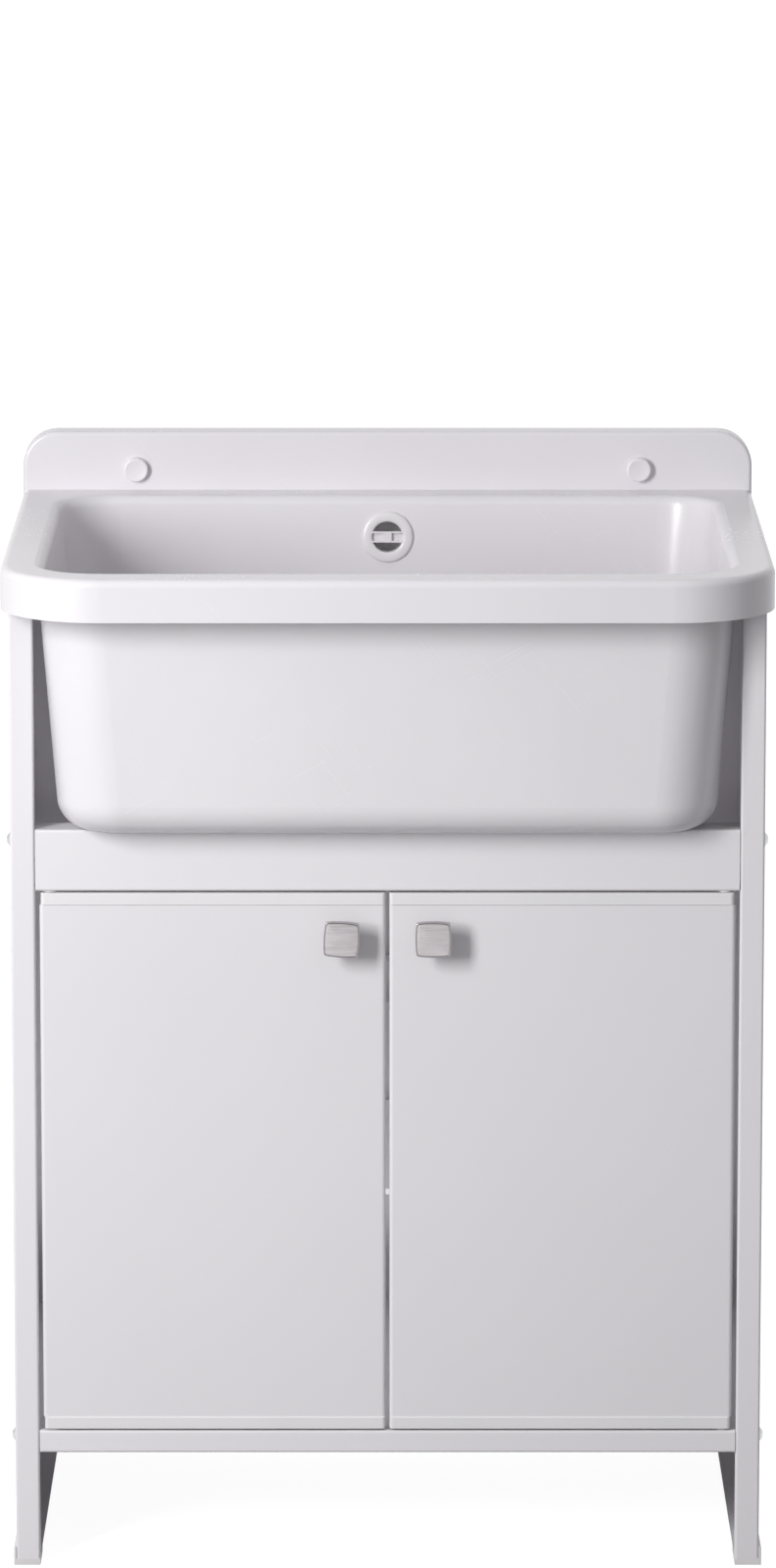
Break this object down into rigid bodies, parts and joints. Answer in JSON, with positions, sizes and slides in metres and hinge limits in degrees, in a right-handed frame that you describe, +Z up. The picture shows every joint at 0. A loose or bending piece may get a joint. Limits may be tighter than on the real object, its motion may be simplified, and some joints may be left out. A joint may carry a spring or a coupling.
{
  "type": "sink cabinet",
  "caption": "Freestanding utility sink cabinet: moulded deep tub with apron rim and splashback, overflow and trap, on a folded steel cabinet with hinged doors.",
  "frame": {"origin": "on the floor, under the middle of the unit's width and depth", "axes": "+Z up, +X to the right seen from the front, +Y from the doors to the wall, so the front faces -Y"},
  "size_m": [0.6, 0.5, 0.85],
  "materials": {
    "tub_resin": "smooth moulded white resin, half gloss",
    "cap_plastic": "smooth white",
    "black_rubber": "matt",
    "grey_plastic": "smooth white polypropylene",
    "hose_rubber": "soft grey hose",
    "zinc_steel": "zinc plated",
    "strainer_steel": "polished stainless steel",
    "painted_sheet": "white powder coat, half gloss",
    "painted_door": "white powder coat, half gloss",
    "door_cap_plastic": "smooth white moulding",
    "foot_plastic": "smooth white moulding",
    "bush_plastic": "natural acetal",
    "catch_plastic": "smooth white moulding",
    "dark_magnet": "dark ground ferrite between steel sides",
    "satin_nickel": "satin nickel plating"
  },
  "bodies": {
    "cabinet": {"sink_tub": "tub_resin", "screw_caps": "cap_plastic", "overflow_rosette": "cap_plastic", "overflow_gasket": "black_rubber", "overflow_elbow": "grey_plastic", "overflow_hose": "hose_rubber", "hose_clamps": "zinc_steel", "strainer_flange": "strainer_steel", "strainer_screw": "strainer_steel", "waste_gaskets": "black_rubber", "waste_body": "grey_plastic", "trap_body": "grey_plastic", "trap_cup": "grey_plastic", "trap_nut": "grey_plastic", "outlet_nut": "grey_plastic", "trap_seals": "black_rubber", "outlet_pipe": "grey_plastic", "side_panel_left": "painted_sheet", "side_panel_right": "painted_sheet", "corner_feet": "foot_plastic", "front_rail": "painted_sheet", "back_rail": "painted_sheet", "bottom_shelf": "painted_sheet", "frame_screws": "zinc_steel", "frame_nuts": "zinc_steel", "hinge_bushes": "bush_plastic", "catch_housings": "catch_plastic", "catch_magnets": "dark_magnet", "catch_screws": "zinc_steel"},
    "left_door": {"left_door_leaf": "painted_door", "left_door_top_cap": "door_cap_plastic", "left_door_bottom_cap": "door_cap_plastic", "left_hinge_pins": "zinc_steel", "left_knob": "satin_nickel", "left_knob_screw": "zinc_steel", "left_strike_plate": "zinc_steel", "left_strike_rivets": "zinc_steel"},
    "right_door": {"right_door_leaf": "painted_door", "right_door_top_cap": "door_cap_plastic", "right_door_bottom_cap": "door_cap_plastic", "right_hinge_pins": "zinc_steel", "right_knob": "satin_nickel", "right_knob_screw": "zinc_steel", "right_strike_plate": "zinc_steel", "right_strike_rivets": "zinc_steel"}
  },
  "joints": [
    {"name": "left_door_hinge", "type": "hinge", "parent": "cabinet", "child": "left_door", "pos_m": [-0.2635, -0.164, 0.327], "axis": [0, 0, -1], "range_deg": [0, 100]},
    {"name": "right_door_hinge", "type": "hinge", "parent": "cabinet", "child": "right_door", "pos_m": [0.2635, -0.164, 0.327], "axis": [0, 0, 1], "range_deg": [0, 100]}
  ]
}
